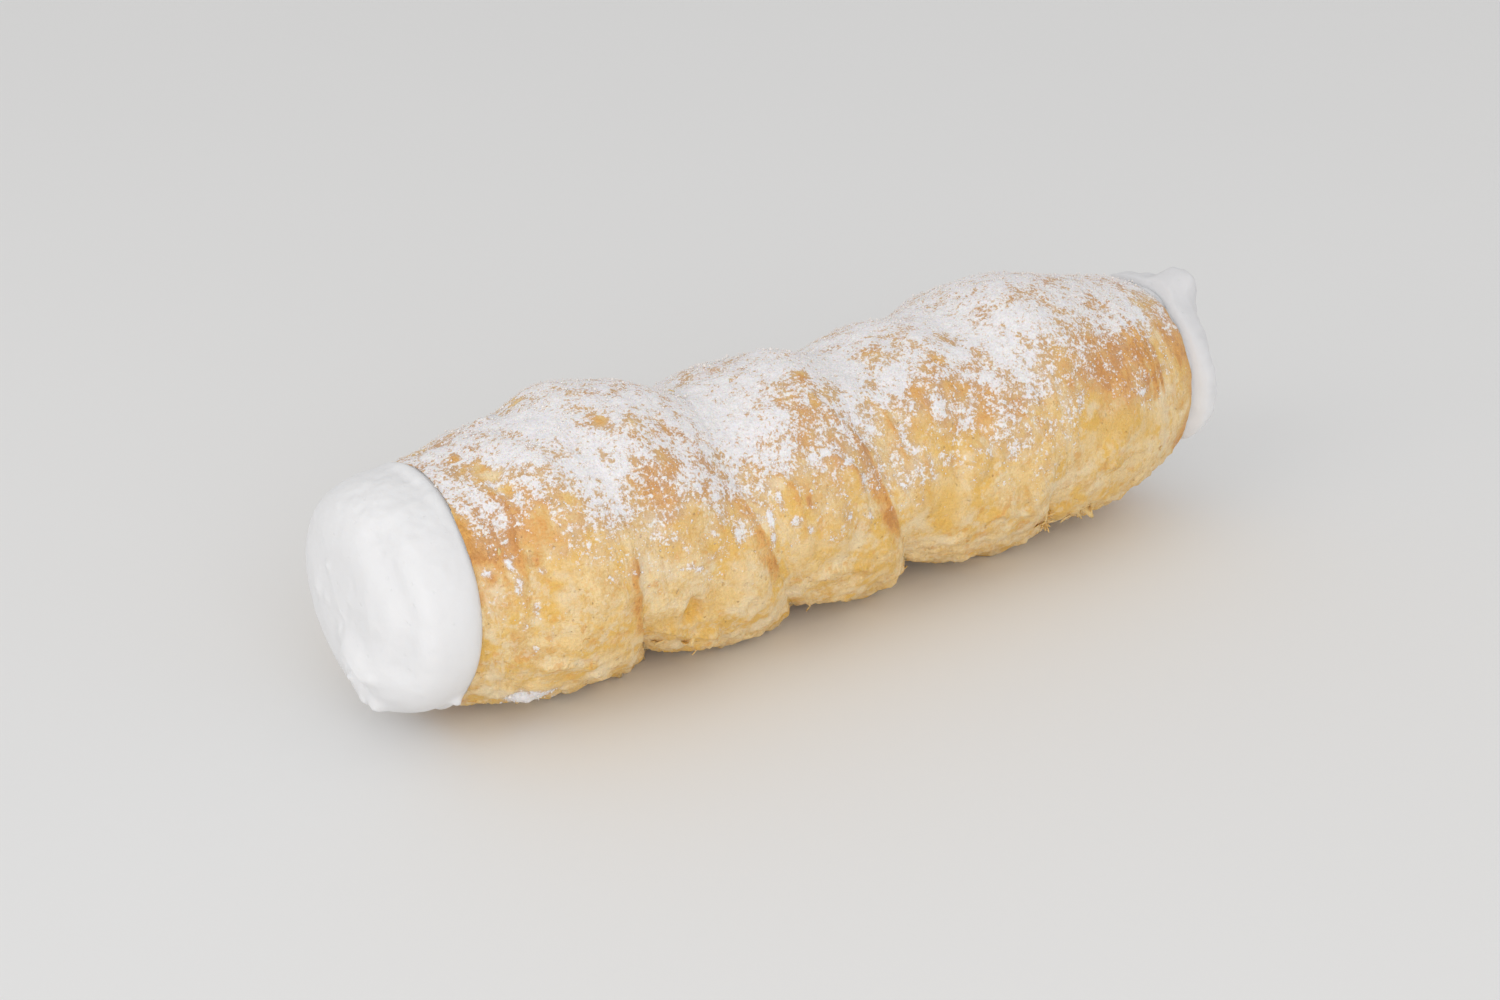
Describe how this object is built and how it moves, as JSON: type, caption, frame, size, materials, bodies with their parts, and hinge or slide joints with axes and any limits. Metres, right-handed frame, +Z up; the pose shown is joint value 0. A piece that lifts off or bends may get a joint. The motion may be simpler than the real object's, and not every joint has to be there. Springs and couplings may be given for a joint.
{
  "type": "cream horn pastry",
  "caption": "Puff pastry strip wound into a straight tube, baked golden, filled with whipped cream that mounds out of both mouths, dusted with powdered sugar.",
  "frame": {"origin": "middle of the roll's footprint, on the surface that it rests on", "axes": "+X along the roll towards its back mouth, +Y towards its far side, +Z up"},
  "size_m": [0.1584, 0.0448, 0.0449],
  "materials": {
    "crust": "baked puff pastry, matte with a faint egg glaze",
    "cream": "soft matte whipped cream",
    "sugar": "dry powder"
  },
  "bodies": {
    "root": {"pastry": "crust", "cream": "cream"}
  },
  "joints": []
}
